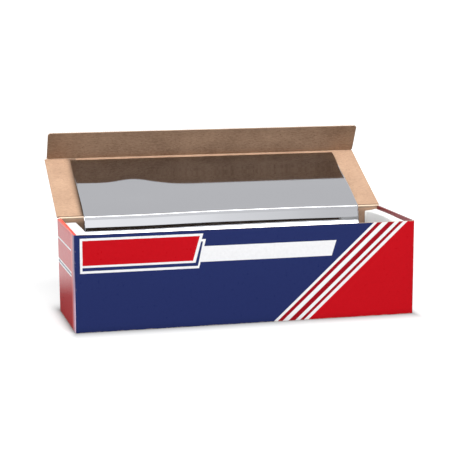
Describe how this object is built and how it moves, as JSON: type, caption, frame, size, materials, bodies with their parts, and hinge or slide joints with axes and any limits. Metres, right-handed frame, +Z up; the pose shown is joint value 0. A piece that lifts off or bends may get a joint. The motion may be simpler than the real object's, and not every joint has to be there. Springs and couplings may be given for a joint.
{
  "type": "aluminium foil roll",
  "caption": "Roll of aluminium foil on a paper core in an open board carton with a hinged lid, folding front flap and toothed cutter, its end drawn over the lid.",
  "frame": {"origin": "centre of the tray's underside", "axes": "+X along the roll, +Y towards the back wall that carries the lid, +Z up"},
  "size_m": [0.357, 0.2027, 0.1813],
  "materials": {
    "printed_board": "coated print, satin",
    "white_board": "uncoated white board",
    "core_paper": "spiral-wound grey-brown paper",
    "foil": "bright rolled foil",
    "lid_board": "kraft inside, printed outside",
    "cutter_steel": "thin bright steel strip"
  },
  "bodies": {
    "carton": {"tray": "printed_board", "end_support_left": "white_board", "end_support_right": "white_board", "core_tube": "core_paper", "foil_roll": "foil"},
    "lid": {"lid_panel": "lid_board", "foil_sheet": "foil"},
    "flap": {"lid_flap": "lid_board", "cutter_strip": "cutter_steel"}
  },
  "joints": [
    {"name": "lid_fold", "type": "hinge", "parent": "carton", "child": "lid", "pos_m": [0, 0.0535, 0.0996], "axis": [-1, 0, 0], "range_deg": [-152, 28]},
    {"name": "flap_fold", "type": "hinge", "parent": "lid", "child": "flap", "pos_m": [0, 0.14868, 0.15021], "axis": [-1, 0, 0], "range_deg": [0, 90]}
  ]
}
